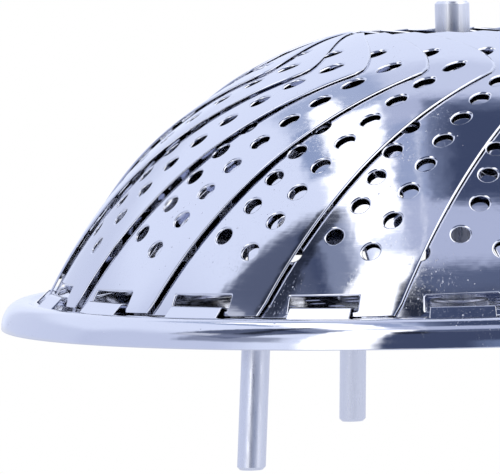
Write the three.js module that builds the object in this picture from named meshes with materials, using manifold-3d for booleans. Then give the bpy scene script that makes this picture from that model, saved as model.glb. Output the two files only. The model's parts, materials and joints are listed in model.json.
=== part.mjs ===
// Folding vegetable steamer: a perforated base plate on three legs, a ring of overlapping
// petals hinged on bridge straps round its rim, and a centre post. The petals are shown
// folded in, as a dome. Millimetres, +Z up, origin on the table under the post.
import * as THREE from 'three';
import { mergeVertices } from 'three/addons/utils/BufferGeometryUtils.js';
import Module from 'manifold-3d';

const wasm = await Module();
wasm.setup();

// Driving dimensions of the base plate and its rolled rim
const rimRadius = 70;
const rimHeight = 4.15;
const rimRoll = 2.9;
const rimCrown = 0.9;
const hemWidth = 1.3;
const hemHeight = 0.6;
const baseSheet = 0.6;
const floorRise = 0.4;
const flangeDrop = 0.5;
const flangeWidth = 12.2;
const dishWall = 2;
const legHeight = 19.5;

// Driving dimensions of the petals and their hinges
const petalCount = 19;
const petalSheet = 0.3;
const petalFootHalf = 11.3;
const petalWideHalf = 23.6;
const petalWideAt = 46;
const tipPower = 1.27;
const tipReach = 18.6;
const tipEndHalf = 4.5;
const domeRadius = 73.3;
const footLean = THREE.MathUtils.degToRad(25.9);
const hingeInset = 7.4;
const layerGap = 0.6;
const tipGap = 0.42;
const gapNarrowsFrom = 22;
const gapNarrowsTo = 46;
const tuckFrom = THREE.MathUtils.degToRad(24);
const tuckBend = 2;
const footGap = 0.4;
const footDrop = 0.45;
const footChamfer = 1.5;
const windowHalf = 5.4;
const windowTop = 2.95;
const barHalf = 0.35;

// Driving dimensions of the bridge straps over the hinge bars
const strapSideGap = 0.35;
const strapSheet = 0.4;
const tunnelGap = 0.28;
const strapReachOut = 3.8;
const strapReachIn = 2.3;
const windowGap = 0.95;
const strapShoulderRise = 0.5;

// Driving dimensions of the perforations
const petalHole = 2.95;
const outerColumnInset = 7;
const outerColumnStart = 15.2;
const innerColumnInset = 13.4;
const innerColumnStart = 12.9;
const columnPitch = 9.9;
const outerColumnHoles = 3;
const innerColumnHoles = 2;
const floorHole = 4.5;
const floorRingPitch = 17;
const floorRingFirst = 18;
const floorRings = 2;
const floorHoleSpacing = 18;

// Driving dimensions of the legs and the post
const legCount = 3;
const legRadius = 2.12;
const legCircle = 47.6;
const legAzimuth = THREE.MathUtils.degToRad(-39.6);
const legSplay = THREE.MathUtils.degToRad(5.5);
const legChamfer = 0.5;
const tenonRadius = 1.4;
const rivetRadius = 2.6;
const rivetHeight = 1.2;
const postRadius = 2.65;
const postAboveRim = 48.3;
const postChamfer = 0.4;
const collarRadius = 4.5;
const collarHeight = 1.5;
const screwRadius = 1.45;
const screwReach = 8;
const screwHeadRadius = 3.2;
const screwHeadHeight = 1.8;
const screwSlot = 0.8;
const washerRadius = 5;
const washerSheet = 0.8;
const fitGap = 0.25;

// Fineness of the facets
const lathePerPetal = 2;
const roundSides = 14;
const holeSides = 6;
const petalColumns = 8;
const tipRows = 3;
const rollSteps = 3;

// Heights and radii that follow from them
const pitch = (2 * Math.PI) / petalCount;
const rimBottom = legHeight;
const rimTop = rimBottom + rimHeight;
const flangeTop = rimTop - flangeDrop;
const floorTop = rimBottom + floorRise + baseSheet;
const floorUnder = rimBottom + floorRise;
const hingeRadius = rimRadius - hingeInset;
const hingeHeight = flangeTop + footDrop + footGap;
const domeCentreRadius = hingeRadius - domeRadius * Math.cos(footLean);
const domeCentreHeight = hingeHeight - domeRadius * Math.sin(footLean);
const flangeInner = rimRadius - flangeWidth;
const crownRadius = rimRadius - rimRoll;
const strapHalf = windowHalf - strapSideGap;
const strapShoulder = windowTop - windowGap;
const tunnelRadius = footDrop + petalSheet / 2 + tunnelGap;
const tipShare = (1 - (tipEndHalf / petalWideHalf) ** tipPower) ** (1 / tipPower);
const petalLength = petalWideAt + tipReach * tipShare;
const screwHole = screwRadius + fitGap;
const cutDepth = 1;
const punchDepth = 20;

const polishedSteel = { color: 0xc4c8d6, metalness: 1, roughness: 0.12 };
const satinSteel = { color: 0xb9bcc6, metalness: 1, roughness: 0.35 };

// Solids and their meshes
function toSolid(geometry) {
  const bare = geometry.clone();
  bare.deleteAttribute('normal');
  bare.deleteAttribute('uv');
  const merged = mergeVertices(bare, 1e-4);
  return new wasm.Manifold(new wasm.Mesh({
    numProp: 3,
    vertProperties: new Float32Array(merged.attributes.position.array),
    triVerts: new Uint32Array(merged.index.array),
  }));
}

function toGeometry(solid) {
  const mesh = solid.getMesh();
  const geometry = new THREE.BufferGeometry();
  geometry.setAttribute('position', new THREE.BufferAttribute(new Float32Array(mesh.vertProperties), 3));
  geometry.setIndex(new THREE.BufferAttribute(new Uint32Array(mesh.triVerts), 1));
  geometry.computeVertexNormals();
  return geometry;
}

function indexed(points, triangles) {
  const geometry = new THREE.BufferGeometry();
  geometry.setAttribute('position', new THREE.Float32BufferAttribute(points.flat(), 3));
  geometry.setIndex(triangles.flat());
  return geometry;
}

// A turned piece: the profile is a list of [radius, height], turned about +Z
function turned(profile, sides) {
  const outline = profile.map(([radius, height]) => new THREE.Vector2(radius, height));
  const geometry = new THREE.LatheGeometry(outline, sides);
  geometry.rotateX(Math.PI / 2);
  return geometry;
}

// A ring-shaped profile closes on itself
function ring(profile, sides) {
  return turned([...profile, profile[0]], sides);
}

// A straight round cutter standing on +Z
function roundCutter(radius, low, high, sides) {
  const geometry = new THREE.CylinderGeometry(radius, radius, high - low, sides);
  geometry.rotateX(Math.PI / 2);
  geometry.translate(0, 0, (low + high) / 2);
  return geometry;
}

// The sheet climbs one layer for each pitch round the dome, so that every petal lies over the
// left side of the next one. The layers close up towards the tips, and the covered left side
// is tucked in a little, which keeps it clear of its neighbour while the petals open.
function petalLift(s, turn) {
  const narrowing = THREE.MathUtils.smoothstep(s, gapNarrowsFrom, gapNarrowsTo);
  const layerStep = petalSheet + layerGap + (tipGap - layerGap) * narrowing;
  const tucked = Math.max(0, -turn - tuckFrom);
  return (layerStep * turn) / pitch - tuckBend * tucked ** 2;
}

// Petal surface: s runs up the petal from the hinge, lateral across it, layer out of the sheet.
// How far round a straight offset reaches is the arc sine's series, which also holds for a
// petal that is wider than the dome there.
function petalPoint(s, lateral, layer) {
  const lean = footLean + s / domeRadius;
  const across = lateral / (domeCentreRadius + domeRadius * Math.cos(lean));
  const turn = across + across ** 3 / 6 + (3 * across ** 5) / 40 + (5 * across ** 7) / 112;
  const reach = domeRadius + petalLift(s, turn) + layer;
  const radius = domeCentreRadius + reach * Math.cos(lean);
  const height = domeCentreHeight + reach * Math.sin(lean);
  return [radius * Math.sin(turn), -radius * Math.cos(turn), height];
}

function petalHalfWidth(s) {
  const flare = (petalWideHalf - petalFootHalf) / petalWideAt;
  if (s < 0) return petalFootHalf + (footChamfer * s) / footDrop;
  if (s < petalWideAt) return petalFootHalf + flare * s;
  const share = ((s - petalWideAt) / tipReach) ** tipPower;
  return petalWideHalf * (1 - share) ** (1 / tipPower);
}

// A closed sheet over a grid of rows, each from its left to its right edge
function sheet(rows, columns, low, high) {
  const points = [];
  for (const layer of [low, high]) {
    for (const row of rows) {
      for (let column = 0; column <= columns; column += 1) {
        const across = (2 * column) / columns - 1;
        points.push(petalPoint(row.s, across * row.half, layer));
      }
    }
  }
  const perRow = columns + 1;
  const upper = rows.length * perRow;
  const triangles = [];
  const quad = (a, b, c, d) => triangles.push([a, b, c], [a, c, d]);
  for (let row = 0; row < rows.length - 1; row += 1) {
    for (let column = 0; column < columns; column += 1) {
      const a = row * perRow + column;
      quad(a, a + perRow, a + perRow + 1, a + 1);
      quad(upper + a, upper + a + 1, upper + a + perRow + 1, upper + a + perRow);
    }
    const left = row * perRow;
    const right = left + columns;
    quad(left, upper + left, upper + left + perRow, left + perRow);
    quad(right, right + perRow, upper + right + perRow, upper + right);
  }
  for (let column = 0; column < columns; column += 1) {
    const last = (rows.length - 1) * perRow + column;
    quad(column, column + 1, upper + column + 1, upper + column);
    quad(last, upper + last, upper + last + 1, last + 1);
  }
  return indexed(points, triangles);
}

// A punch through the petal, drawn by its corners as [s, lateral]. It tapers to a point far
// inside the dome, so that each of its sides is one facet.
function petalPunch(corners) {
  const middle = [0, 1].map((axis) => corners.reduce((sum, corner) => sum + corner[axis], 0) / corners.length);
  const widening = 1 + cutDepth / punchDepth;
  const points = corners.map(([s, lateral]) => petalPoint(
    middle[0] + (s - middle[0]) * widening,
    middle[1] + (lateral - middle[1]) * widening,
    cutDepth,
  ));
  const apex = points.push(petalPoint(...middle, -punchDepth)) - 1;
  const triangles = [];
  for (let corner = 0; corner < corners.length; corner += 1) {
    const next = (corner + 1) % corners.length;
    triangles.push([corner, apex, next]);
    if (corner > 0 && next > 0) triangles.push([0, corner, next]);
  }
  return toSolid(indexed(points, triangles));
}

function roundCorners(s, lateral) {
  const corners = [];
  for (let side = 0; side < holeSides; side += 1) {
    const angle = (2 * Math.PI * side) / holeSides;
    corners.push([s + (petalHole / 2) * Math.sin(angle), lateral + (petalHole / 2) * Math.cos(angle)]);
  }
  return corners;
}

// Two columns of holes run up each side of a petal, each level with its edge
function petalHoles() {
  const flare = (petalWideHalf - petalFootHalf) / petalWideAt;
  const columns = [
    { start: outerColumnStart, inset: outerColumnInset, holes: outerColumnHoles },
    { start: innerColumnStart, inset: innerColumnInset, holes: innerColumnHoles },
  ];
  const places = [];
  for (const { start, inset, holes } of columns) {
    for (let hole = 0; hole < holes; hole += 1) {
      const s = start + hole * columnPitch;
      const lateral = petalFootHalf + flare * s - inset;
      if (lateral < petalHole) {
        places.push([s, 0]);
      } else {
        places.push([s, lateral], [s, -lateral]);
      }
    }
  }
  return places;
}

// Rows of facets run between the rows of holes, then close up round the tip
function petalStations() {
  const stations = [-footDrop, 0];
  const rowSpace = columnPitch - (outerColumnStart - innerColumnStart);
  for (let s = innerColumnStart - rowSpace / 2; s < petalWideAt; s += columnPitch) {
    stations.push(s);
  }
  stations.push(petalWideAt);
  for (let row = 1; row <= tipRows; row += 1) {
    const share = Math.sin((Math.PI / 2) * (row / tipRows));
    stations.push(petalWideAt + (petalLength - petalWideAt) * share);
  }
  return stations;
}

function makePetal() {
  const stations = petalStations();
  const rows = stations.map((s) => ({ s, half: petalHalfWidth(s) }));
  let petal = toSolid(sheet(rows, petalColumns, -petalSheet / 2, petalSheet / 2));
  petal = petal.subtract(petalPunch([
    [barHalf, -windowHalf],
    [barHalf, windowHalf],
    [windowTop, windowHalf],
    [windowTop, -windowHalf],
  ]));
  for (const [s, lateral] of petalHoles()) {
    petal = petal.subtract(petalPunch(roundCorners(s, lateral)));
  }
  return toGeometry(petal);
}

// The base plate's section: dish floor, wall, hinge flange, crowned rim and turned-in hem
function rimArc(radius, height, inward) {
  const points = [];
  for (let step = 0; step <= rollSteps; step += 1) {
    const angle = (Math.PI / 2) * (step / rollSteps);
    const across = (rimRoll - inward) * Math.sin(angle);
    const up = (rimHeight - hemHeight - inward) * Math.cos(angle);
    points.push([radius + across, height + up]);
  }
  return points;
}

// How far along a bend's corner moves to the underside, so that the sheet keeps its thickness
function bendShift(rise, run) {
  return baseSheet * Math.tan(Math.atan2(rise, run) / 2);
}

function basePlateSection() {
  const wallShift = bendShift(flangeTop - floorTop, dishWall);
  const crownShift = bendShift(flangeDrop, rimCrown);
  const outer = rimArc(crownRadius, rimBottom + hemHeight, 0);
  const inner = rimArc(crownRadius, rimBottom + hemHeight, baseSheet).reverse();
  return [
    [screwHole, floorTop],
    [flangeInner - dishWall, floorTop],
    [flangeInner, flangeTop],
    [crownRadius - rimCrown * 2, flangeTop],
    [crownRadius - rimCrown, rimTop],
    ...outer,
    [rimRadius, rimBottom],
    [rimRadius - hemWidth, rimBottom],
    [rimRadius - hemWidth, rimBottom + hemHeight],
    ...inner,
    [crownRadius - rimCrown + crownShift, rimTop - baseSheet],
    [crownRadius - rimCrown * 2 + crownShift, flangeTop - baseSheet],
    [flangeInner + wallShift, flangeTop - baseSheet],
    [flangeInner - dishWall + wallShift, floorUnder],
    [screwHole, floorUnder],
  ].reverse();
}

// A section in [radius, height] drawn out across the front of the base and turned to its petal
function acrossFront(section, half, azimuth) {
  const shape = new THREE.Shape(section.map(([radius, height]) => new THREE.Vector2(radius, height)));
  const geometry = new THREE.ExtrudeGeometry(shape, { depth: 2 * half, bevelEnabled: false });
  const place = new THREE.Matrix4().makeBasis(
    new THREE.Vector3(0, -1, 0),
    new THREE.Vector3(0, 0, 1),
    new THREE.Vector3(-1, 0, 0),
  );
  geometry.translate(0, 0, -half);
  geometry.applyMatrix4(place);
  geometry.rotateZ(azimuth);
  return toSolid(geometry);
}

function strapSection() {
  const sunk = flangeTop - baseSheet / 2;
  const crest = hingeHeight + tunnelRadius + strapSheet;
  const shoulderHeight = hingeHeight + strapShoulderRise;
  const rampFoot = strapSheet * 2;
  return [
    [hingeRadius + strapReachOut, sunk],
    [hingeRadius + strapReachOut, flangeTop + strapSheet],
    [hingeRadius + strapShoulder, shoulderHeight],
    [hingeRadius + tunnelRadius, crest],
    [hingeRadius - tunnelRadius, crest],
    [hingeRadius - strapReachIn, flangeTop],
    [hingeRadius - strapReachIn, sunk],
    [hingeRadius - strapReachIn + rampFoot, sunk],
    [hingeRadius - tunnelRadius - strapSheet / 4, hingeHeight + tunnelRadius],
    [hingeRadius + tunnelRadius, hingeHeight + tunnelRadius],
    [hingeRadius + strapShoulder, shoulderHeight - strapSheet],
    [hingeRadius + strapReachOut - rampFoot, sunk],
  ];
}

function floorHolePlaces() {
  const places = [];
  for (let index = 0; index < floorRings; index += 1) {
    const radius = floorRingFirst + index * floorRingPitch;
    const count = Math.round((2 * Math.PI * radius) / floorHoleSpacing);
    for (let hole = 0; hole < count; hole += 1) {
      const angle = (2 * Math.PI * hole) / count;
      places.push([radius * Math.sin(angle), -radius * Math.cos(angle)]);
    }
  }
  return places;
}

function legPlace(index) {
  const azimuth = legAzimuth + (2 * Math.PI * index) / legCount;
  return { azimuth, x: legCircle * Math.sin(azimuth), y: -legCircle * Math.cos(azimuth) };
}

function makeBasePlate() {
  let plate = toSolid(ring(basePlateSection(), petalCount * lathePerPetal));
  const floorCut = [floorUnder - baseSheet, floorTop + baseSheet];
  for (let index = 0; index < petalCount; index += 1) {
    plate = plate.add(acrossFront(strapSection(), strapHalf, index * pitch));
  }
  for (const [x, y] of floorHolePlaces()) {
    plate = plate.subtract(toSolid(roundCutter(floorHole / 2, ...floorCut, holeSides).translate(x, y, 0)));
  }
  for (let index = 0; index < legCount; index += 1) {
    const { x, y } = legPlace(index);
    const hole = roundCutter(tenonRadius + fitGap, ...floorCut, roundSides);
    plate = plate.subtract(toSolid(hole.translate(x, y, 0)));
  }
  return toGeometry(plate);
}

// A leg rod with its tenon riveted over above the floor; below the floor it leans outwards
function makeLeg() {
  const shoulder = floorUnder - fitGap;
  const head = floorTop + fitGap;
  const geometry = turned([
    [0, 0],
    [legRadius - legChamfer, 0],
    [legRadius, legChamfer],
    [legRadius, shoulder],
    [tenonRadius, shoulder],
    [tenonRadius, head],
    [rivetRadius, head],
    [rivetRadius, head + rivetHeight / 2],
    [rivetRadius / 2, head + rivetHeight],
    [0, head + rivetHeight],
  ], roundSides);
  const points = geometry.attributes.position;
  for (let index = 0; index < points.count; index += 1) {
    const below = Math.max(shoulder - points.getZ(index), 0);
    points.setY(index, points.getY(index) - below * Math.tan(legSplay));
  }
  return toGeometry(toSolid(geometry));
}

function makePost() {
  const foot = floorTop + fitGap;
  const top = rimBottom + postAboveRim;
  const bore = screwHole;
  const boreTop = floorTop + screwReach + fitGap;
  return toGeometry(toSolid(turned([
    [0, boreTop],
    [bore, boreTop],
    [bore, foot],
    [collarRadius, foot],
    [collarRadius, foot + collarHeight],
    [postRadius, foot + collarHeight],
    [postRadius, top - postChamfer],
    [postRadius - postChamfer, top],
    [0, top],
  ], roundSides)));
}

function makeWasher() {
  const top = floorUnder - fitGap;
  return toGeometry(toSolid(ring([
    [screwHole, top - washerSheet],
    [washerRadius, top - washerSheet],
    [washerRadius, top],
    [screwHole, top],
  ], roundSides)));
}

function makeScrew() {
  const seat = floorUnder - 2 * fitGap - washerSheet;
  const bottom = seat - screwHeadHeight;
  const head = turned([
    [0, bottom],
    [screwHeadRadius * 0.7, bottom],
    [screwHeadRadius, bottom + screwHeadHeight / 2],
    [screwHeadRadius, seat],
    [screwRadius, seat],
    [screwRadius, floorTop + screwReach],
    [0, floorTop + screwReach],
  ], roundSides);
  const slot = new THREE.BoxGeometry(4 * screwHeadRadius, screwSlot, 2 * screwSlot);
  slot.translate(0, 0, bottom);
  return toGeometry(toSolid(head).subtract(toSolid(slot)));
}

// The assembly
const steamer = new THREE.Group();

function addPiece(name, geometry, finish, azimuth = 0) {
  const mesh = new THREE.Mesh(geometry, new THREE.MeshStandardMaterial(finish));
  mesh.name = name;
  mesh.rotation.z = azimuth;
  steamer.add(mesh);
  return mesh;
}

addPiece('base_plate', makeBasePlate(), polishedSteel);

const petal = makePetal();
for (let index = 0; index < petalCount; index += 1) {
  addPiece(`petal_${String(index + 1).padStart(2, '0')}`, petal, polishedSteel, index * pitch);
}

const leg = makeLeg();
for (let index = 0; index < legCount; index += 1) {
  const { azimuth, x, y } = legPlace(index);
  addPiece(`leg_${index + 1}`, leg, satinSteel, azimuth).position.set(x, y, 0);
}

addPiece('centre_post', makePost(), satinSteel);
addPiece('post_washer', makeWasher(), satinSteel);
addPiece('post_screw', makeScrew(), satinSteel);

export default steamer;
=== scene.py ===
# Folding steamer basket: nineteen polished petals closed over a rolled rim, three rod legs, a centre post.
# Everything is in metres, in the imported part's frame; the dictionaries are in millimetres and degrees.
import json
import math

import bpy
from mathutils import Matrix, Vector


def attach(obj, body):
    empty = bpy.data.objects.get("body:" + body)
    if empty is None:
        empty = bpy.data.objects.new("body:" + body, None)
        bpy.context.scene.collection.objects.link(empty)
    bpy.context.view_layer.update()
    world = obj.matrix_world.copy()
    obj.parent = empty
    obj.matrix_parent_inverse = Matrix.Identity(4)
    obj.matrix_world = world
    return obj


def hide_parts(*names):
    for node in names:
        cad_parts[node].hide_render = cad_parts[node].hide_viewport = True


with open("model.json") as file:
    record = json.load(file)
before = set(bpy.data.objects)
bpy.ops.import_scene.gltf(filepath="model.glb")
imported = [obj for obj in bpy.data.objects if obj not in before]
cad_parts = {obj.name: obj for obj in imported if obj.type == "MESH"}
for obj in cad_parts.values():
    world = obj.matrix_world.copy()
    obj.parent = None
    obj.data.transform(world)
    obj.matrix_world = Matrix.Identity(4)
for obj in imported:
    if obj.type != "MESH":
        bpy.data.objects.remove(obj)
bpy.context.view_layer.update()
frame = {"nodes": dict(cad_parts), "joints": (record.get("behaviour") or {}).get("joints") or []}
mm = 0.001
firstHinge = frame["joints"][0]["pos_m"]
hingeRadius = -firstHinge[1] / mm
hingeHeight = firstHinge[2] / mm
print("frame loaded:", len(frame["nodes"]), "nodes")

# How every mesh is joined, bevelled and shaded
meshing = {
    "mergeDistance": 0.002,
    "bevelFrom": 60.0,
    "bevelSteps": 2,
    "smoothPressed": 35.0,
    "smoothTurned": 30.0,
    "normalWeight": 100,
}


# Small tools for working on one object at a time
def selectOnly(*pieces):
    bpy.ops.object.select_all(action="DESELECT")
    for piece in pieces:
        piece.select_set(True)
    bpy.context.view_layer.objects.active = pieces[0]


def addPrimitive(operator, **settings):
    bpy.ops.object.select_all(action="DESELECT")
    operator(**settings)
    return bpy.context.object


def startEdit(piece, mode="VERT"):
    selectOnly(piece)
    bpy.ops.object.mode_set(mode="EDIT")
    bpy.ops.mesh.select_mode(type=mode)
    bpy.ops.mesh.select_all(action="SELECT")


def endEdit():
    bpy.ops.object.mode_set(mode="OBJECT")


def applyModifier(piece, kind, **settings):
    selectOnly(piece)
    modifier = piece.modifiers.new(kind.title(), kind)
    for name, value in settings.items():
        setattr(modifier, name, value)
    bpy.ops.object.modifier_apply(modifier=modifier.name)


def roundEdges(piece, width):
    applyModifier(piece, "BEVEL", width=width * mm, segments=meshing["bevelSteps"], limit_method="ANGLE",
                  angle_limit=math.radians(meshing["bevelFrom"]))


def placeInMesh(piece):
    selectOnly(piece)
    bpy.ops.object.transform_apply(location=True, rotation=True, scale=True)


def copyPiece(piece, name, matrix):
    copy = piece.copy()
    copy.data = piece.data.copy()
    copy.name = name
    copy.data.name = name
    copy.data.transform(matrix)
    bpy.context.collection.objects.link(copy)
    return copy


def joinPieces(first, others):
    selectOnly(first, *others)
    bpy.ops.object.join()
    return first


def punchOut(piece, punch):
    applyModifier(piece, "BOOLEAN", operation="DIFFERENCE", solver="EXACT", object=punch)
    bpy.data.objects.remove(punch)


def aroundZ(degrees):
    return Matrix.Rotation(math.radians(degrees), 4, "Z")


def clamped(value):
    return min(max(value, 0), 1)


def smoothStep(value):
    share = clamped(value)
    return share * share * (3 - 2 * share)


# A line of points at the front of the object, as (radius, height), drawn by extruding one vertex
def drawSection(name, section):
    points = [Vector((0, -radius, height)) * mm for radius, height in section]
    piece = addPrimitive(bpy.ops.mesh.primitive_plane_add, size=mm, location=points[0])
    piece.name = name
    placeInMesh(piece)
    startEdit(piece)
    bpy.ops.mesh.merge(type="CENTER")
    for start, end in zip(points, points[1:]):
        bpy.ops.mesh.extrude_vertices_move(TRANSFORM_OT_translate={"value": end - start})
    bpy.ops.mesh.select_all(action="SELECT")
    return piece


def spinFull(steps):
    bpy.ops.mesh.spin(steps=steps, angle=2 * math.pi, center=(0, 0, 0), axis=(0, 0, 1))


def closeSeams():
    bpy.ops.mesh.select_all(action="SELECT")
    bpy.ops.mesh.remove_doubles(threshold=meshing["mergeDistance"] * mm)
    bpy.ops.mesh.normals_make_consistent(inside=False)
    endEdit()


# An open sheet has no inside, so it is turned by its highest face
def faceUp(piece):
    closeSeams()
    highest = max(piece.data.polygons, key=lambda face: face.center.z)
    if highest.normal.z <= 0:
        startEdit(piece)
        bpy.ops.mesh.flip_normals()
        endEdit()


# Turned solids: the section starts and ends on the axis, or closes on itself
def spinSection(name, section, steps):
    piece = drawSection(name, section)
    spinFull(steps)
    closeSeams()
    return piece


def smoothTurned(piece):
    selectOnly(piece)
    bpy.ops.object.shade_smooth_by_angle(angle=math.radians(meshing["smoothTurned"]))


def arc(centre, radii, startDegrees, endDegrees, steps):
    points = []
    for step in range(steps + 1):
        angle = math.radians(startDegrees + (endDegrees - startDegrees) * step / steps)
        points.append((centre[0] + radii[0] * math.cos(angle), centre[1] + radii[1] * math.sin(angle)))
    return points


# A corner of a section, rounded to a radius between two straight runs
def rounded(before, corner, after, radius, steps):
    middle = Vector(corner)
    inward = (Vector(before) - middle).normalized()
    outward = (Vector(after) - middle).normalized()
    half = inward.angle(outward) / 2
    bisector = (inward + outward).normalized()
    centre = middle + bisector * (radius / math.sin(half))
    start = middle + inward * (radius / math.tan(half)) - centre
    end = middle + outward * (radius / math.tan(half)) - centre
    points = []
    for step in range(steps + 1):
        spoke = start.slerp(end, step / steps).normalized() * radius
        points.append(tuple(centre + spoke))
    return points


# All corners but the first and the last are rounded, and the last is left out
def roundedRun(corners, radius, steps):
    section = [corners[0]]
    for before, corner, after in zip(corners, corners[1:], corners[2:]):
        section += rounded(before, corner, after, radius, steps)
    return section


# Colours are written as sRGB hex and used as linear values
def linear(hexColour):
    values = [int(hexColour[index:index + 2], 16) / 255 for index in (1, 3, 5)]
    return [v / 12.92 if v <= 0.04045 else ((v + 0.055) / 1.055) ** 2.4 for v in values] + [1.0]


def addNode(tree, kind, settings=None, inputs=None, links=None):
    node = tree.nodes.new(kind)
    for name, value in (settings or {}).items():
        setattr(node, name, value)
    for name, value in (inputs or {}).items():
        node.inputs[name].default_value = value
    for name, socket in (links or {}).items():
        tree.links.new(socket, node.inputs[name])
    return node


# Each value is a number, or a socket to link from
def addMath(tree, operation, *values):
    numbers = {index: value for index, value in enumerate(values) if isinstance(value, float)}
    sockets = {index: value for index, value in enumerate(values) if index not in numbers}
    return addNode(tree, "ShaderNodeMath", {"operation": operation}, numbers, sockets).outputs[0]


def addVectorMath(tree, operation, links, inputs=None):
    return addNode(tree, "ShaderNodeVectorMath", {"operation": operation}, inputs, links).outputs[0]


def addRange(tree, value, fromLow, fromHigh, toLow=0.0, toHigh=1.0, curve="LINEAR"):
    limits = {"From Min": fromLow, "From Max": fromHigh, "To Min": toLow, "To Max": toHigh}
    node = addNode(tree, "ShaderNodeMapRange", {"interpolation_type": curve}, limits, {"Value": value})
    return node.outputs[0]


def addNoise(tree, place, size, detail, roughness, stretch=None):
    if stretch:
        mapping = addNode(tree, "ShaderNodeMapping", inputs={"Scale": stretch}, links={"Vector": place})
        place = mapping.outputs[0]
    settings = {"Scale": 1 / (size * mm), "Detail": detail, "Roughness": roughness}
    return addNode(tree, "ShaderNodeTexNoise", inputs=settings, links={"Vector": place}).outputs["Fac"]


def addBump(tree, height, depth, strength=1.0):
    return addNode(tree, "ShaderNodeBump", inputs={"Strength": strength, "Distance": depth * mm},
                   links={"Height": height})


def newMaterial(name):
    material = bpy.data.materials.new(name)
    material.use_nodes = True
    tree = material.node_tree
    shader = tree.nodes["Principled BSDF"]
    return material, tree, shader


# Camera: a long lens, a little above the rim, aimed left of the post so that the frame cuts the basket
camera = {
    "distance": 948.13,
    "height": 80.75,
    "azimuth": -0.47,
    "pitchDown": 2.917,
    "yawLeft": 1.923,
    "roll": 1.478,
    "lens": 445.63,
    "sensor": 36.0,
    "nearest": 10.0,
    "farthest": 100000.0,
}


def addCamera(c):
    turn = aroundZ(c["azimuth"])
    yaw = -math.radians(c["yawLeft"])
    pitch = math.radians(c["pitchDown"])
    roll = -math.radians(c["roll"])
    level = Vector((math.sin(yaw), math.cos(yaw), 0))
    right = Vector((math.cos(yaw), -math.sin(yaw), 0))
    forward = level * math.cos(pitch) - Vector((0, 0, math.sin(pitch)))
    up = level * math.sin(pitch) + Vector((0, 0, math.cos(pitch)))
    imageRight = right * math.cos(roll) + up * math.sin(roll)
    imageUp = up * math.cos(roll) - right * math.sin(roll)
    axes = Matrix((imageRight, imageUp, -forward)).transposed().to_4x4()
    place = Matrix.Translation(Vector((0, -c["distance"], c["height"])) * mm)
    bpy.ops.object.camera_add()
    cameraObject = bpy.context.object
    cameraObject.matrix_world = turn @ place @ axes
    cameraObject.data.lens = c["lens"]
    cameraObject.data.sensor_width = c["sensor"]
    cameraObject.data.clip_start = c["nearest"] * mm
    cameraObject.data.clip_end = c["farthest"] * mm
    bpy.context.scene.camera = cameraObject


addCamera(camera)
print("camera placed")


# Studio: a white table in a pale room with white panels, dark areas overhead and to the left, and a dark
# front wall; three ink areas on the left are painted shade.
# Paints are a colour and a strength; the room is seen only in the steel.
studio = {
    "paints": {
        "wall": ("#dde4f7", 1.22),
        "panel": ("#ffffff", 1.7),
        "ink": ("#1f2431", 1.0),
        "dark": ("#3d4867", 1.0),
        "slate": ("#6b7796", 1.0),
        "blue": ("#93a5cb", 1.0),
        "mist": ("#bcc4e1", 1.0),
        "floor": ("#e3e7f3", 1.0),
    },
    "wobble": 0.05,
    "wobbleScale": 6.0,
    "wobbleDetail": 6.0,
    "wobbleRoughness": 0.72,
    "white": "#ffffff",
    # painted shade: the table's colour as the steel mirrors it, greyer for the basket's shadow on it
    "table": "#d9deee",
    "tableSize": 500.0,
}

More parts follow.
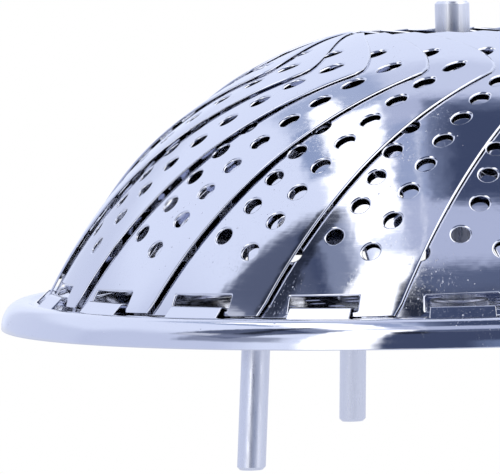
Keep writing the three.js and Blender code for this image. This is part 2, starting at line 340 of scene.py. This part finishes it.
# Soft-edged areas of the room, each (paint, kind, low, high, near, far, softness, share).
# A plan area lies in a plan of the sky: X to the right, Y to the front, 1 at the horizon.
# A round area lies between two headings, in quarter turns right of the front, and two distances.
roomAreas = [
    ("mist", "plan", -0.13, 0.20, -0.42, -0.24, 0.04, 0.45),
    ("mist", "plan", -0.13, 0.30, -0.26, 0.36, 0.02, 0.9),
    ("blue", "plan", -0.125, -0.05, -0.16, 0.12, 0.02, 0.6),
    ("slate", "plan", -0.055, 0.17, -0.24, 0.14, 0.012, 0.9),
    ("dark", "plan", -0.02, 0.17, -0.21, 0.13, 0.03, 0.9),
    ("panel", "plan", 0.17, 0.75, -0.35, 0.35, 0.03, 1.0),
    ("blue", "plan", -0.28, -0.11, -0.43, -0.27, 0.02, 0.7),
    ("blue", "plan", -0.29, -0.235, -0.27, -0.06, 0.012, 0.9),
    ("slate", "plan", -0.37, -0.25, 0.08, 0.36, 0.03, 0.85),
    ("dark", "plan", -0.65, -0.33, 0.05, 0.33, 0.02, 0.92),
    ("floor", "round", -0.93, -0.79, 0.575, 0.66, 0.008, 0.85),
    # Painted shade: these three ink areas darken a band just right of each petal's edge. They stand in for
    # the shadow in the gap under that edge, mirrored in the next petal.
    ("ink", "round", -0.755, -0.68, 0.44, 0.57, 0.012, 0.85),
    ("ink", "round", -0.79, -0.71, 0.36, 0.45, 0.012, 0.85),
    ("ink", "round", -0.84, -0.745, 0.27, 0.37, 0.012, 0.85),
    ("panel", "plan", -0.24, -0.13, -0.265, 0.205, 0.008, 1.0),
    ("panel", "plan", -0.24, -0.19, -0.345, -0.25, 0.008, 1.0),
    ("panel", "plan", -0.275, -0.23, -0.05, 0.06, 0.012, 1.0),
    ("panel", "plan", -0.079, -0.072, -0.18, 0.3, 0.006, 0.3),
    ("mist", "round", -1.2, -0.62, 0.62, 1.4, 0.1, 0.55),
    ("mist", "round", -1.8, -1.15, 0.74, 1.4, 0.06, 0.42),
    ("dark", "round", -0.86, -0.52, 0.66, 0.82, 0.035, 0.6),
    ("panel", "round", -0.46, -0.19, 0.31, 0.42, 0.02, 1.0),
    ("panel", "round", -0.46, -0.235, 0.4, 1.4, 0.02, 1.0),
    ("dark", "round", -0.19, 0.42, 0.34, 0.43, 0.015, 0.95),
    ("dark", "round", -0.235, 0.42, 0.42, 1.4, 0.03, 0.98),
    ("ink", "round", -0.23, -0.1, 0.4, 0.5, 0.025, 0.85),
    ("slate", "round", -0.2, 0.42, 0.33, 0.405, 0.025, 0.6),
    ("blue", "round", 0.05, 0.42, 0.8, 1.4, 0.05, 0.5),
    ("panel", "round", 0.5, 0.8, 0.6, 1.4, 0.05, 0.5),
    ("floor", "round", -3.0, 3.0, 1.02, 2.5, 0.02, 0.9),
]


def softArea(tree, places, area):
    kind, lowX, highX, lowY, highY, soft, share = area[1:]
    mask = share
    for socket, low, high in zip(places[kind], (lowX, lowY), (highX, highY)):
        for edge, sign in ((low, 1), (high, -1)):
            step = addRange(tree, socket, edge - sign * soft, edge + sign * soft, curve="SMOOTHSTEP")
            mask = addMath(tree, "MULTIPLY", step, mask)
    return mask


# Where a direction of the sky lies in the plan, a little unevenly, and its heading and distance there
def skyPlaces(tree, s):
    quarterTurn = math.pi / 2
    place = addNode(tree, "ShaderNodeTexCoord").outputs["Generated"]
    parts = addNode(tree, "ShaderNodeSeparateXYZ", links={0: place})
    fromZenith = addMath(tree, "ARCCOSINE", parts.outputs["Z"])
    reach = addMath(tree, "DIVIDE", fromZenith, quarterTurn)
    level = addNode(tree, "ShaderNodeCombineXYZ", links={0: parts.outputs["X"], 1: parts.outputs["Y"]})
    towards = addVectorMath(tree, "NORMALIZE", {0: level.outputs[0]})
    even = addVectorMath(tree, "SCALE", {0: towards, "Scale": reach})
    wobble = {"Scale": s["wobbleScale"], "Detail": s["wobbleDetail"], "Roughness": s["wobbleRoughness"]}
    uneven = addNode(tree, "ShaderNodeTexNoise", inputs=wobble, links={"Vector": place})
    centred = addVectorMath(tree, "SUBTRACT", {0: uneven.outputs["Color"]}, {1: (0.5, 0.5, 0.5)})
    shift = addVectorMath(tree, "SCALE", {0: centred}, {"Scale": s["wobble"]})
    plan = addVectorMath(tree, "ADD", {0: even, 1: shift})
    spread = addNode(tree, "ShaderNodeSeparateXYZ", links={0: plan})
    across = spread.outputs["X"]
    forwards = addMath(tree, "MULTIPLY", spread.outputs["Y"], -1.0)
    turn = addMath(tree, "ARCTAN2", across, forwards)
    heading = addMath(tree, "DIVIDE", turn, quarterTurn)
    flat = addNode(tree, "ShaderNodeCombineXYZ", links={0: across, 1: forwards})
    length = addNode(tree, "ShaderNodeVectorMath", {"operation": "LENGTH"}, links={0: flat.outputs[0]})
    return {"plan": (across, forwards), "round": (heading, length.outputs["Value"])}


# The camera sees one shader and every other ray the other
def splitRays(tree, seen, mirrored):
    rays = addNode(tree, "ShaderNodeLightPath")
    shaders = {0: rays.outputs["Is Camera Ray"], 1: mirrored.outputs[0], 2: seen.outputs[0]}
    return addNode(tree, "ShaderNodeMixShader", links=shaders).outputs[0]


def addWorld(s):
    world = bpy.data.worlds.new("studio")
    bpy.context.scene.world = world
    world.use_nodes = True
    tree = world.node_tree
    tree.nodes.clear()
    places = skyPlaces(tree, s)
    paint = {}
    for name, (colour, strength) in s["paints"].items():
        paint[name] = [value * strength for value in linear(colour)[:3]] + [1.0]
    wall = addNode(tree, "ShaderNodeRGB")
    wall.outputs[0].default_value = paint["wall"]
    light = wall.outputs[0]
    for area in roomAreas:
        mix = addNode(tree, "ShaderNodeMix", {"data_type": "RGBA"}, {"B": paint[area[0]]},
                      {"Factor": softArea(tree, places, area), "A": light})
        light = mix.outputs["Result"]
    room = addNode(tree, "ShaderNodeBackground", links={"Color": light})
    white = addNode(tree, "ShaderNodeBackground", inputs={"Color": linear(s["white"]), "Strength": 1.0})
    addNode(tree, "ShaderNodeOutputWorld", links={"Surface": splitRays(tree, white, room)})


# The table is plain white to the camera, like the background, and a little greyer in the steel: painted
# shade, standing in for the basket's own shadow on it
def addTable(s):
    table = addPrimitive(bpy.ops.mesh.primitive_plane_add, size=s["tableSize"] * mm)
    table.name = "studioTable"
    material, tree, shader = newMaterial("white table")
    tree.nodes.remove(shader)
    seen = addNode(tree, "ShaderNodeEmission", inputs={"Color": linear(s["white"]), "Strength": 1.0})
    # Painted shade: the table the steel mirrors is greyer, standing in for the basket's own shadow
    mirrored = addNode(tree, "ShaderNodeEmission", inputs={"Color": linear(s["table"]), "Strength": 1.0})
    tree.links.new(splitRays(tree, seen, mirrored), tree.nodes["Material Output"].inputs["Surface"])
    table.data.materials.append(material)


addWorld(studio)
addTable(studio)
print("studio ready")


# Polished stainless sheet: it mirrors the room with faint waves and brushed streaks.
# Dust specks and fine scratches dull it in patches; they are drawn coarser than life so that they show.
polished = {
    "colour": "#dfe1ea",
    "waves": {"size": 8.0, "detail": 3.0, "roughness": 0.55},
    "waveDepth": 0.05,
    "streaks": {"size": 0.5, "detail": 3.0, "roughness": 0.6, "stretch": (0.06, 0.06, 1.0)},
    "streakDepth": 0.003,
    "streakRange": (0.3, 0.75),
    "streakRoughness": (0.036, 0.108),
    "dust": {"size": 7.0, "detail": 2.0, "roughness": 0.5},
    "dustRange": (0.46, 0.64),
    "dustLeast": 0.25,
    "speckSpacing": 0.9,
    "speckSize": 0.4,
    "speckRarity": 3.0,
    "speckRoughness": 0.75,
    "scratches": {"size": 0.3, "detail": 4.0, "roughness": 0.7, "stretch": (1.0, 1.0, 0.12)},
    "scratchRange": (0.5, 0.72),
    "scratchRoughness": 0.4,
}


def newSteel(name, colour):
    material, tree, shader = newMaterial(name)
    shader.inputs["Base Color"].default_value = linear(colour)
    shader.inputs["Metallic"].default_value = 1.0
    place = addNode(tree, "ShaderNodeTexCoord").outputs["Object"]
    return material, tree, shader, place


# How rough the specks are, where there are any: most are tiny, and they gather in the dusty patches
def addSpecks(p, tree, place, patches):
    specks = addNode(tree, "ShaderNodeTexVoronoi", inputs={"Scale": 1 / (p["speckSpacing"] * mm)},
                     links={"Vector": place})
    chance = addNode(tree, "ShaderNodeSeparateColor", links={0: specks.outputs["Color"]})
    rarity = addMath(tree, "POWER", chance.outputs[0], p["speckRarity"])
    dusty = addMath(tree, "MULTIPLY", rarity, patches)
    speckReach = addMath(tree, "MULTIPLY", dusty, p["speckSize"] / 2 / p["speckSpacing"])
    inSpeck = addMath(tree, "LESS_THAN", specks.outputs["Distance"], speckReach)
    return addMath(tree, "MULTIPLY", inSpeck, p["speckRoughness"])


def polishedSteel(p):
    material, tree, shader, place = newSteel("polished stainless sheet", p["colour"])
    waves = addNoise(tree, place, **p["waves"])
    streaks = addNoise(tree, place, **p["streaks"])
    dust = addNoise(tree, place, **p["dust"])
    scratches = addNoise(tree, place, **p["scratches"])
    brushed = addRange(tree, streaks, *p["streakRange"], *p["streakRoughness"])
    patches = addRange(tree, dust, *p["dustRange"], p["dustLeast"], curve="SMOOTHSTEP")
    scratched = addRange(tree, scratches, *p["scratchRange"], toHigh=p["scratchRoughness"])
    hazy = addMath(tree, "MULTIPLY", scratched, patches)
    dulled = addMath(tree, "MAXIMUM", hazy, addSpecks(p, tree, place, patches))
    tree.links.new(addMath(tree, "MAXIMUM", brushed, dulled), shader.inputs["Roughness"])
    waveBump = addBump(tree, waves, p["waveDepth"])
    streakBump = addBump(tree, streaks, p["streakDepth"])
    tree.links.new(waveBump.outputs[0], streakBump.inputs["Normal"])
    tree.links.new(streakBump.outputs[0], shader.inputs["Normal"])
    return material


# Drawn stainless rod: satin, with streaks along its length
rod = {
    "colour": "#e4e6ee",
    "streaks": {"size": 0.25, "detail": 3.0, "roughness": 0.6, "stretch": (1.0, 1.0, 0.03)},
    "streakRange": (0.3, 0.7),
    "streakRoughness": (0.24, 0.42),
    "streakDepth": 0.01,
    "bumpStrength": 0.3,
}


def satinRod(r):
    material, tree, shader, place = newSteel("satin drawn rod", r["colour"])
    streaks = addNoise(tree, place, **r["streaks"])
    rough = addRange(tree, streaks, *r["streakRange"], *r["streakRoughness"])
    tree.links.new(rough, shader.inputs["Roughness"])
    bump = addBump(tree, streaks, r["streakDepth"], r["bumpStrength"])
    tree.links.new(bump.outputs[0], shader.inputs["Normal"])
    return material


polishedSheet = polishedSteel(polished)
satinSteel = satinRod(rod)


def finishPiece(piece, material, body, slot, *nodes):
    piece.data.materials.clear()
    piece.data.materials.append(material)
    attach(piece, body)
    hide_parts(*nodes)


# Bends are smooth, and flat faces keep their own normals up to them
def smoothPressing(piece):
    selectOnly(piece)
    bpy.ops.object.shade_smooth_by_angle(angle=math.radians(meshing["smoothPressed"]))
    applyModifier(piece, "WEIGHTED_NORMAL", mode="FACE_AREA", weight=meshing["normalWeight"], keep_sharp=True)


# Petals: a flat blank is punched, then pressed to the dome
petal = {
    "count": 19,
    "sheet": 0.25,
    "layerGap": 0.4,
    "tipGap": 0.17,
    "edgeLift": 0.12,
    "edgeLiftWidth": 8.0,
    "gapNarrowsFrom": 22.0,
    "gapNarrowsTo": 46.0,
    "tuckFrom": -8.0,
    "tuckBend": 2.0,
    "settle": 0.3,
    "settleWidth": 10.0,
    "footHalf": 11.3,
    "wideHalf": 23.24,
    "wideAt": 46.49,
    "tipPower": 1.26,
    "tipReach": 18.24,
    "tipEndHalf": 4.5,
    "footDrop": 0.45,
    "footChamfer": 0.4,
    "domeRadius": 73.9,
    "footLean": 25.83,
    "windowHalf": 5.4,
    "windowTop": 2.9,
    "barHalf": 0.35,
    "windowCorner": 0.35,
    "windowCornerSteps": 3,
    "windowRound": 0.3,
    "rollWidth": 0.3,
    "rollAngle": 45.0,
    "rollColumns": 3,
    "edgeRound": 0.08,
    "columns": 30,
    "rows": 44,
    "rowCrowding": 1.4,
    "punchReach": 1.0,
    "hole": 2.67,
    "holeRound": 0.34,
    "shoulderFrom": 180.0,
    "shoulderTo": 100.0,
    "shoulderSteps": 4,
    "holeSides": 28,
    "holesInColumn": 9,
    "outerColumn": {
        "start": 9.95, "pitch": 5.32, "closing": 0.068, "lateral": 6.87, "spread": 1.39, "first": 6.02,
    },
    "innerColumn": {
        "start": 12.7, "pitch": 5.36, "closing": 0.04, "lateral": 1.62, "spread": 1.31, "first": 0.0,
    },
    "triangulateFrom": 5,
}
pitchDegrees = 360 / petal["count"]
sideFlare = (petal["wideHalf"] - petal["footHalf"]) / petal["wideAt"]


def petalLength(p):
    share = (1 - (p["tipEndHalf"] / p["wideHalf"]) ** p["tipPower"]) ** (1 / p["tipPower"])
    return p["wideAt"] + p["tipReach"] * share


def petalHalfWidth(p, s):
    if s < 0:
        return p["footHalf"] + p["footChamfer"] * s / p["footDrop"]
    if s < p["wideAt"]:
        return p["footHalf"] + sideFlare * s
    share = min((s - p["wideAt"]) / p["tipReach"], 1) ** p["tipPower"]
    return p["wideHalf"] * (1 - share) ** (1 / p["tipPower"])


# The sheet climbs one layer for each pitch round the dome. The layers close up towards the tips,
# the right edge stands up a little, and above the foot the covered left side is tucked in:
# it settles lower as soon as the neighbour's edge covers it.
def petalLift(p, s, lateral, turn, rowRadius):
    pitch = math.radians(pitchDegrees)
    narrowing = smoothStep((s - p["gapNarrowsFrom"]) / (p["gapNarrowsTo"] - p["gapNarrowsFrom"]))
    layerStep = p["sheet"] + p["layerGap"] + (p["tipGap"] - p["layerGap"]) * narrowing
    tuckBend = p["tuckBend"] * clamped(s / p["gapNarrowsFrom"])
    tucked = max(-turn - math.radians(p["tuckFrom"]), 0)
    nearEdge = max((lateral - petalHalfWidth(p, s)) / p["edgeLiftWidth"] + 1, 0)
    raised = p["edgeLift"] * (1 - narrowing) * nearEdge ** 2
    neighbourEdge = math.asin(petalHalfWidth(p, s) / rowRadius) - pitch
    settled = p["settle"] * narrowing * smoothStep((neighbourEdge - turn) / math.radians(p["settleWidth"]))
    return layerStep * turn / pitch + raised - tuckBend * tucked ** 2 - settled


# How the dome leans at a height up the petal, where its arc is centred and how far out it stands there
def domeRow(p, s):
    footLean = math.radians(p["footLean"])
    lean = footLean + s / p["domeRadius"]
    centreRadius = hingeRadius - p["domeRadius"] * math.cos(footLean)
    centreHeight = hingeHeight - p["domeRadius"] * math.sin(footLean)
    return lean, (centreRadius, centreHeight), centreRadius + p["domeRadius"] * math.cos(lean)


# Where a point of the flat blank goes on the dome, and the sheet's own axes there
def pressPoint(p, lateral, s, layer):
    lean, (centreRadius, centreHeight), rowRadius = domeRow(p, s)
    turn = math.asin(lateral / rowRadius)
    reach = p["domeRadius"] + petalLift(p, s, lateral, turn, rowRadius) + layer
    radius = centreRadius + reach * math.cos(lean)
    point = Vector((radius * math.sin(turn), -radius * math.cos(turn), centreHeight + reach * math.sin(lean)))
    radial = Vector((math.sin(turn), -math.cos(turn), 0))
    across = Vector((math.cos(turn), math.sin(turn), 0))
    outward = radial * math.cos(lean) + Vector((0, 0, math.sin(lean)))
    along = Vector((0, 0, math.cos(lean))) - radial * math.sin(lean)
    return point * mm, (across, along, outward)


# Two columns of holes on each side; the lowest of the inner column is on the middle line
def petalHoles(p):
    places = []
    for column in (p["outerColumn"], p["innerColumn"]):
        for index in range(p["holesInColumn"]):
            s = column["start"] + column["pitch"] * index - column["closing"] * index ** 2
            lateral = column["lateral"] + column["spread"] * index if index else column["first"]
            places.append((lateral, s))
            if lateral:
                places.append((-lateral, s))
    return places


# A punch starts as its outline below the sheet. It is drawn up with a round shoulder, which leaves
# a rolled rim round its opening.
def raisePunch(p, punch, halves, centre, shoulderRound):
    startEdit(punch, "FACE")
    height, wider = -p["punchReach"], 0.0
    shoulder = arc((shoulderRound, p["sheet"] / 2 - shoulderRound), (shoulderRound, shoulderRound),
                   p["shoulderFrom"], p["shoulderTo"], p["shoulderSteps"])
    for nextWider, nextHeight in [*shoulder, (shoulder[-1][0], p["punchReach"])]:
        bpy.ops.mesh.extrude_region_move(TRANSFORM_OT_translate={"value": (0, 0, (nextHeight - height) * mm)})
        growth = [(half + nextWider) / (half + wider) for half in halves]
        bpy.ops.transform.resize(value=(*growth, 1), center_override=centre)
        height, wider = nextHeight, nextWider
    bpy.ops.mesh.select_all(action="SELECT")
    bpy.ops.mesh.normals_make_consistent(inside=False)
    endEdit()


def makePunch(p):
    radius = p["hole"] / 2
    punch = addPrimitive(bpy.ops.mesh.primitive_circle_add, vertices=p["holeSides"], radius=radius * mm,
                         fill_type="NGON", location=(0, 0, -p["punchReach"] * mm))
    placeInMesh(punch)
    raisePunch(p, punch, (radius, radius), (0, 0, 0), p["holeRound"])
    return punch


def makeWindowPunch(p):
    halves = (p["windowHalf"], (p["windowTop"] - p["barHalf"]) / 2)
    middle = (p["windowTop"] + p["barHalf"]) / 2 * mm
    punch = addPrimitive(bpy.ops.mesh.primitive_plane_add, size=2,
                         location=(0, middle, -p["punchReach"] * mm))
    punch.scale = (halves[0] * mm, halves[1] * mm, 1)
    placeInMesh(punch)
    startEdit(punch)
    bpy.ops.mesh.bevel(offset=p["windowCorner"] * mm, segments=p["windowCornerSteps"], affect="VERTICES")
    endEdit()
    raisePunch(p, punch, halves, (0, middle, 0), p["windowRound"])
    return punch


# The sides are rolled down over the last few tenths, where the sheet's edge was dressed
def rollDrop(p, inset):
    rollRadius = p["rollWidth"] / math.sin(math.radians(p["rollAngle"]))
    reach = max(p["rollWidth"] - inset, 0)
    return rollRadius - math.sqrt(rollRadius ** 2 - reach ** 2)


def sideInset(p, half, column):
    fromSide = min(column, p["columns"] - column)
    if fromSide <= p["rollColumns"]:
        return p["rollWidth"] * fromSide / p["rollColumns"]
    inwards = (fromSide - p["rollColumns"]) / (p["columns"] / 2 - p["rollColumns"])
    return p["rollWidth"] + (half - p["rollWidth"]) * inwards


# The grid of the blank runs from -1 to 1 before its points are placed
def makeBlank(p):
    blank = addPrimitive(bpy.ops.mesh.primitive_grid_add, x_subdivisions=p["columns"],
                         y_subdivisions=p["rows"], size=2)
    length = petalLength(p)
    for vertex in blank.data.vertices:
        upwards = (vertex.co.y + 1) / 2
        s = -p["footDrop"] + (length + p["footDrop"]) * (1 - (1 - upwards) ** p["rowCrowding"])
        half = petalHalfWidth(p, s)
        inset = sideInset(p, half, round((vertex.co.x + 1) / 2 * p["columns"]))
        lateral = math.copysign(half - inset, vertex.co.x)
        vertex.co = Vector((lateral, s, -rollDrop(p, inset))) * mm
    applyModifier(blank, "SOLIDIFY", thickness=p["sheet"] * mm, offset=0)
    roundEdges(blank, p["edgeRound"])
    return blank


# Pressing widens what lies off the middle line, so each punch is narrowed by as much
def punchPetal(p):
    blank = makeBlank(p)
    punch = makePunch(p)
    copies = [makeWindowPunch(p)]
    for lateral, s in petalHoles(p):
        rowRadius = domeRow(p, s)[2]
        squeeze = math.sqrt(1 - (lateral / rowRadius) ** 2)
        place = Matrix.Translation(Vector((lateral, s, 0)) * mm) @ Matrix.Diagonal((squeeze, 1, 1, 1))
        copies.append(copyPiece(punch, "punch", place))
    bpy.data.objects.remove(punch)
    punchOut(blank, joinPieces(copies[0], copies[1:]))
    applyModifier(blank, "TRIANGULATE", min_vertices=p["triangulateFrom"])
    return blank


# The flat sheet's own normals are carried to the dome, so that punched facets don't show in the mirror
def pressPetals(p):
    blank = punchPetal(p)
    mesh = blank.data
    smoothPressing(blank)
    flatNormals = [corner.vector.copy() for corner in mesh.corner_normals]
    axesAt = []
    for vertex in mesh.vertices:
        vertex.co, axes = pressPoint(p, *(vertex.co / mm))
        axesAt.append(axes)
    normals = []
    for loop, flat in zip(mesh.loops, flatNormals):
        across, along, outward = axesAt[loop.vertex_index]
        normals.append((across * flat.x + along * flat.y + outward * flat.z).normalized())
    for index in range(p["count"]):
        name = f"petal_{index + 1:02d}"
        turn = aroundZ(index * pitchDegrees)
        piece = copyPiece(blank, name + "_sheet", turn)
        piece.data.normals_split_custom_set([turn.to_3x3() @ normal for normal in normals])
        finishPiece(piece, polishedSheet, name, "polished_sheet", name)
    bpy.data.objects.remove(blank)
    print("petals pressed:", p["count"], "with", len(mesh.polygons), "faces each")


pressPetals(petal)


# Base plate: one pressed sheet, dished and perforated inside, rolled over and hemmed at the rim
basePlate = {
    "rimBottom": 19.5,
    "rimRadius": 70.3,
    "rimHeight": 4.15,
    "rimRoll": 3.2,
    "rollSteps": 12,
    "crown": 0.9,
    "hem": 1.3,
    "hemDrop": 0.13,
    "hemRound": 0.15,
    "hemSteps": 4,
    "sheet": 0.6,
    "floorTop": 1.0,
    "flangeTop": 3.65,
    "flangeInner": 57.8,
    "dishWall": 2.0,
    "bend": 0.7,
    "bendSteps": 4,
    "screwHole": 1.7,
    "steps": 152,
    "floorHole": 3.0,
    "floorHoleSides": 20,
    "floorPunch": 4.0,
    "ringFirst": 11.0,
    "ringPitch": 7.0,
    "rings": 5,
    "holeSpacing": 7.0,
}


def rimSection(b):
    bottom = b["rimBottom"]
    flange = bottom + b["flangeTop"]
    floor = bottom + b["floorTop"]
    top = bottom + b["rimHeight"]
    crownRadius = b["rimRadius"] - b["rimRoll"]
    section = roundedRun([
        (b["screwHole"], floor),
        (b["flangeInner"] - b["dishWall"], floor),
        (b["flangeInner"], flange),
        (crownRadius - 2 * b["crown"], flange),
        (crownRadius - b["crown"], top),
        (crownRadius, top),
    ], b["bend"], b["bendSteps"])
    low = bottom - b["hemDrop"]
    rollFoot = low + b["hemRound"]
    hemRadii = (b["hemRound"], b["hemRound"])
    section += arc((crownRadius, rollFoot), (b["rimRoll"], top - rollFoot), 90, 0, b["rollSteps"])
    section += arc((b["rimRadius"] - b["hemRound"], rollFoot), hemRadii, 0, -90, b["hemSteps"])[1:]
    section.append((b["rimRadius"] - b["hem"], low))
    return section


def makeBasePlate(b):
    plate = drawSection("base_plate_sheet", rimSection(b))
    spinFull(b["steps"])
    faceUp(plate)
    applyModifier(plate, "SOLIDIFY", thickness=b["sheet"] * mm, offset=-1)
    return plate


def floorHoles(b):
    punch = addPrimitive(bpy.ops.mesh.primitive_cylinder_add, vertices=b["floorHoleSides"],
                         radius=b["floorHole"] / 2 * mm, depth=b["floorPunch"] * mm,
                         location=(0, 0, (b["rimBottom"] + b["floorTop"]) * mm))
    placeInMesh(punch)
    copies = []
    for ring in range(b["rings"]):
        radius = b["ringFirst"] + ring * b["ringPitch"]
        count = round(2 * math.pi * radius / b["holeSpacing"])
        for hole in range(count):
            place = aroundZ(360 * hole / count) @ Matrix.Translation((0, -radius * mm, 0))
            copies.append(copyPiece(punch, "floorPunch", place))
    bpy.data.objects.remove(punch)
    return joinPieces(copies[0], copies[1:])


# Bridge straps: pressed up out of the flange, one over each petal's hinge bar
strap = {
    "half": 4.85,
    "topShare": 0.97,
    "sheet": 0.28,
    "reachOut": 2.2,
    "shoulder": 0.36,
    "reachIn": 2.3,
    "tunnel": 0.72,
    "footRise": 0.1,
    "footRun": 0.4,
    "footSink": 0.1,
    "bend": 0.75,
    "bendSteps": 3,
    "edgeRound": 0.11,
}


def makeStrap(b, t):
    flange = b["rimBottom"] + b["flangeTop"]
    crest = hingeHeight + t["tunnel"] + t["sheet"]
    inner = (hingeRadius - t["reachIn"], flange - t["footSink"])
    section = roundedRun([
        (hingeRadius + t["reachOut"] + t["footRun"], flange - t["footSink"]),
        (hingeRadius + t["reachOut"], flange + t["footRise"]),
        (hingeRadius + t["shoulder"], crest),
        (hingeRadius - t["tunnel"], crest),
        inner,
    ], t["bend"], t["bendSteps"])
    piece = drawSection("strap", [*section, inner])
    bpy.ops.transform.translate(value=(-t["half"] * mm, 0, 0))
    bpy.ops.mesh.extrude_region_move(TRANSFORM_OT_translate={"value": (2 * t["half"] * mm, 0, 0)})
    faceUp(piece)
    for vertex in piece.data.vertices:
        rise = clamped((vertex.co.z / mm - flange) / (crest - flange))
        vertex.co.x *= 1 - (1 - t["topShare"]) * rise
    applyModifier(piece, "SOLIDIFY", thickness=t["sheet"] * mm, offset=-1)
    roundEdges(piece, t["edgeRound"])
    return piece


def finishBasePlate(b, t):
    plate = makeBasePlate(b)
    punchOut(plate, floorHoles(b))
    first = makeStrap(b, t)
    straps = [copyPiece(first, "strap", aroundZ(index * pitchDegrees)) for index in range(petal["count"])]
    bpy.data.objects.remove(first)
    joinPieces(plate, straps)
    smoothPressing(plate)
    finishPiece(plate, polishedSheet, "base", "polished_sheet", "base_plate")
    print("base plate pressed:", len(plate.data.polygons), "faces")


finishBasePlate(basePlate, strap)


# Legs: satin rods that lean outwards, riveted over above the floor
leg = {
    "count": 3,
    "radius": 2.12,
    "circle": 47.6,
    "azimuth": -39.6,
    "splay": 5.5,
    "chamfer": 0.45,
    "shoulder": 19.65,
    "tenon": 1.4,
    "headFoot": 20.75,
    "rivet": 2.6,
    "rivetHeight": 1.2,
    "rivetFrom": 12.0,
    "rivetSteps": 6,
    "steps": 48,
}


def makeLeg(g):
    section = [
        (0, 0),
        (g["radius"] - g["chamfer"], 0),
        (g["radius"], g["chamfer"]),
        (g["radius"], g["shoulder"]),
        (g["tenon"], g["shoulder"]),
        (g["tenon"], g["headFoot"]),
        (g["rivet"], g["headFoot"]),
        *arc((0, g["headFoot"]), (g["rivet"], g["rivetHeight"]), g["rivetFrom"], 90, g["rivetSteps"]),
    ]
    piece = spinSection("legRod", section, g["steps"])
    for vertex in piece.data.vertices:
        below = max(g["shoulder"] * mm - vertex.co.z, 0)
        vertex.co.y -= below * math.tan(math.radians(g["splay"]))
    smoothTurned(piece)
    return piece


def addLegs(g):
    rodPiece = makeLeg(g)
    outwards = Matrix.Translation((0, -g["circle"] * mm, 0))
    for index in range(g["count"]):
        node = f"leg_{index + 1}"
        place = aroundZ(g["azimuth"] + 360 * index / g["count"]) @ outwards
        finishPiece(copyPiece(rodPiece, node + "_rod", place), satinSteel, "base", "satin_rod", node)
    bpy.data.objects.remove(rodPiece)
    print("legs riveted:", g["count"])


addLegs(leg)


# Post: a plain rod with a small chamfer, screwed down through the floor
post = {
    "radius": 2.65,
    "top": 67.8,
    "chamfer": 0.4,
    "foot": 20.75,
    "collar": 4.5,
    "collarHeight": 1.5,
    "collarRound": 0.5,
    "collarSteps": 4,
    "bore": 1.7,
    "boreTop": 28.75,
    "screw": 1.45,
    "screwTop": 28.5,
    "seat": 18.6,
    "head": 3.2,
    "headHeight": 1.8,
    "headRound": 1.0,
    "headSteps": 5,
    "slot": 0.8,
    "slotLength": 12.8,
    "washer": 5.0,
    "washerLow": 18.85,
    "washerHigh": 19.65,
    "washerRound": 0.2,
    "washerSteps": 3,
    "steps": 64,
}


def addPost(q):
    collarTop = q["foot"] + q["collarHeight"]
    bend = q["collarRound"]
    section = [
        (0, q["boreTop"]),
        (q["bore"], q["boreTop"]),
        (q["bore"], q["foot"]),
        (q["collar"], q["foot"]),
        *arc((q["collar"] - bend, collarTop - bend), (bend, bend), 0, 90, q["collarSteps"]),
        (q["radius"], collarTop),
        (q["radius"], q["top"] - q["chamfer"]),
        (q["radius"] - q["chamfer"], q["top"]),
        (0, q["top"]),
    ]
    piece = spinSection("centre_post_rod", section, q["steps"])
    smoothTurned(piece)
    finishPiece(piece, satinSteel, "base", "satin_rod", "centre_post")


def addWasher(q):
    low, high = q["washerLow"], q["washerHigh"]
    bend = q["washerRound"]
    section = [
        (q["bore"], low),
        *arc((q["washer"] - bend, low + bend), (bend, bend), -90, 0, q["washerSteps"]),
        *arc((q["washer"] - bend, high - bend), (bend, bend), 0, 90, q["washerSteps"]),
        (q["bore"], high),
        (q["bore"], low),
    ]
    piece = spinSection("post_washer_ring", section, q["steps"])
    smoothTurned(piece)
    finishPiece(piece, satinSteel, "base", "fasteners", "post_washer")


def addScrew(q):
    bottom = q["seat"] - q["headHeight"]
    bend = q["headRound"]
    section = [
        (0, bottom),
        *arc((q["head"] - bend, bottom + bend), (bend, bend), -90, 0, q["headSteps"]),
        (q["head"], q["seat"]),
        (q["screw"], q["seat"]),
        (q["screw"], q["screwTop"]),
        (0, q["screwTop"]),
    ]
    piece = spinSection("post_screw_body", section, q["steps"])
    slotPunch = addPrimitive(bpy.ops.mesh.primitive_cube_add, size=1, location=(0, 0, bottom * mm))
    slotPunch.scale = Vector((q["slotLength"], q["slot"], 2 * q["slot"])) * mm
    placeInMesh(slotPunch)
    punchOut(piece, slotPunch)
    smoothTurned(piece)
    finishPiece(piece, satinSteel, "base", "fasteners", "post_screw")


addPost(post)
addWasher(post)
addScrew(post)
print("post screwed down")

bpy.context.scene.view_settings.view_transform = "Standard"
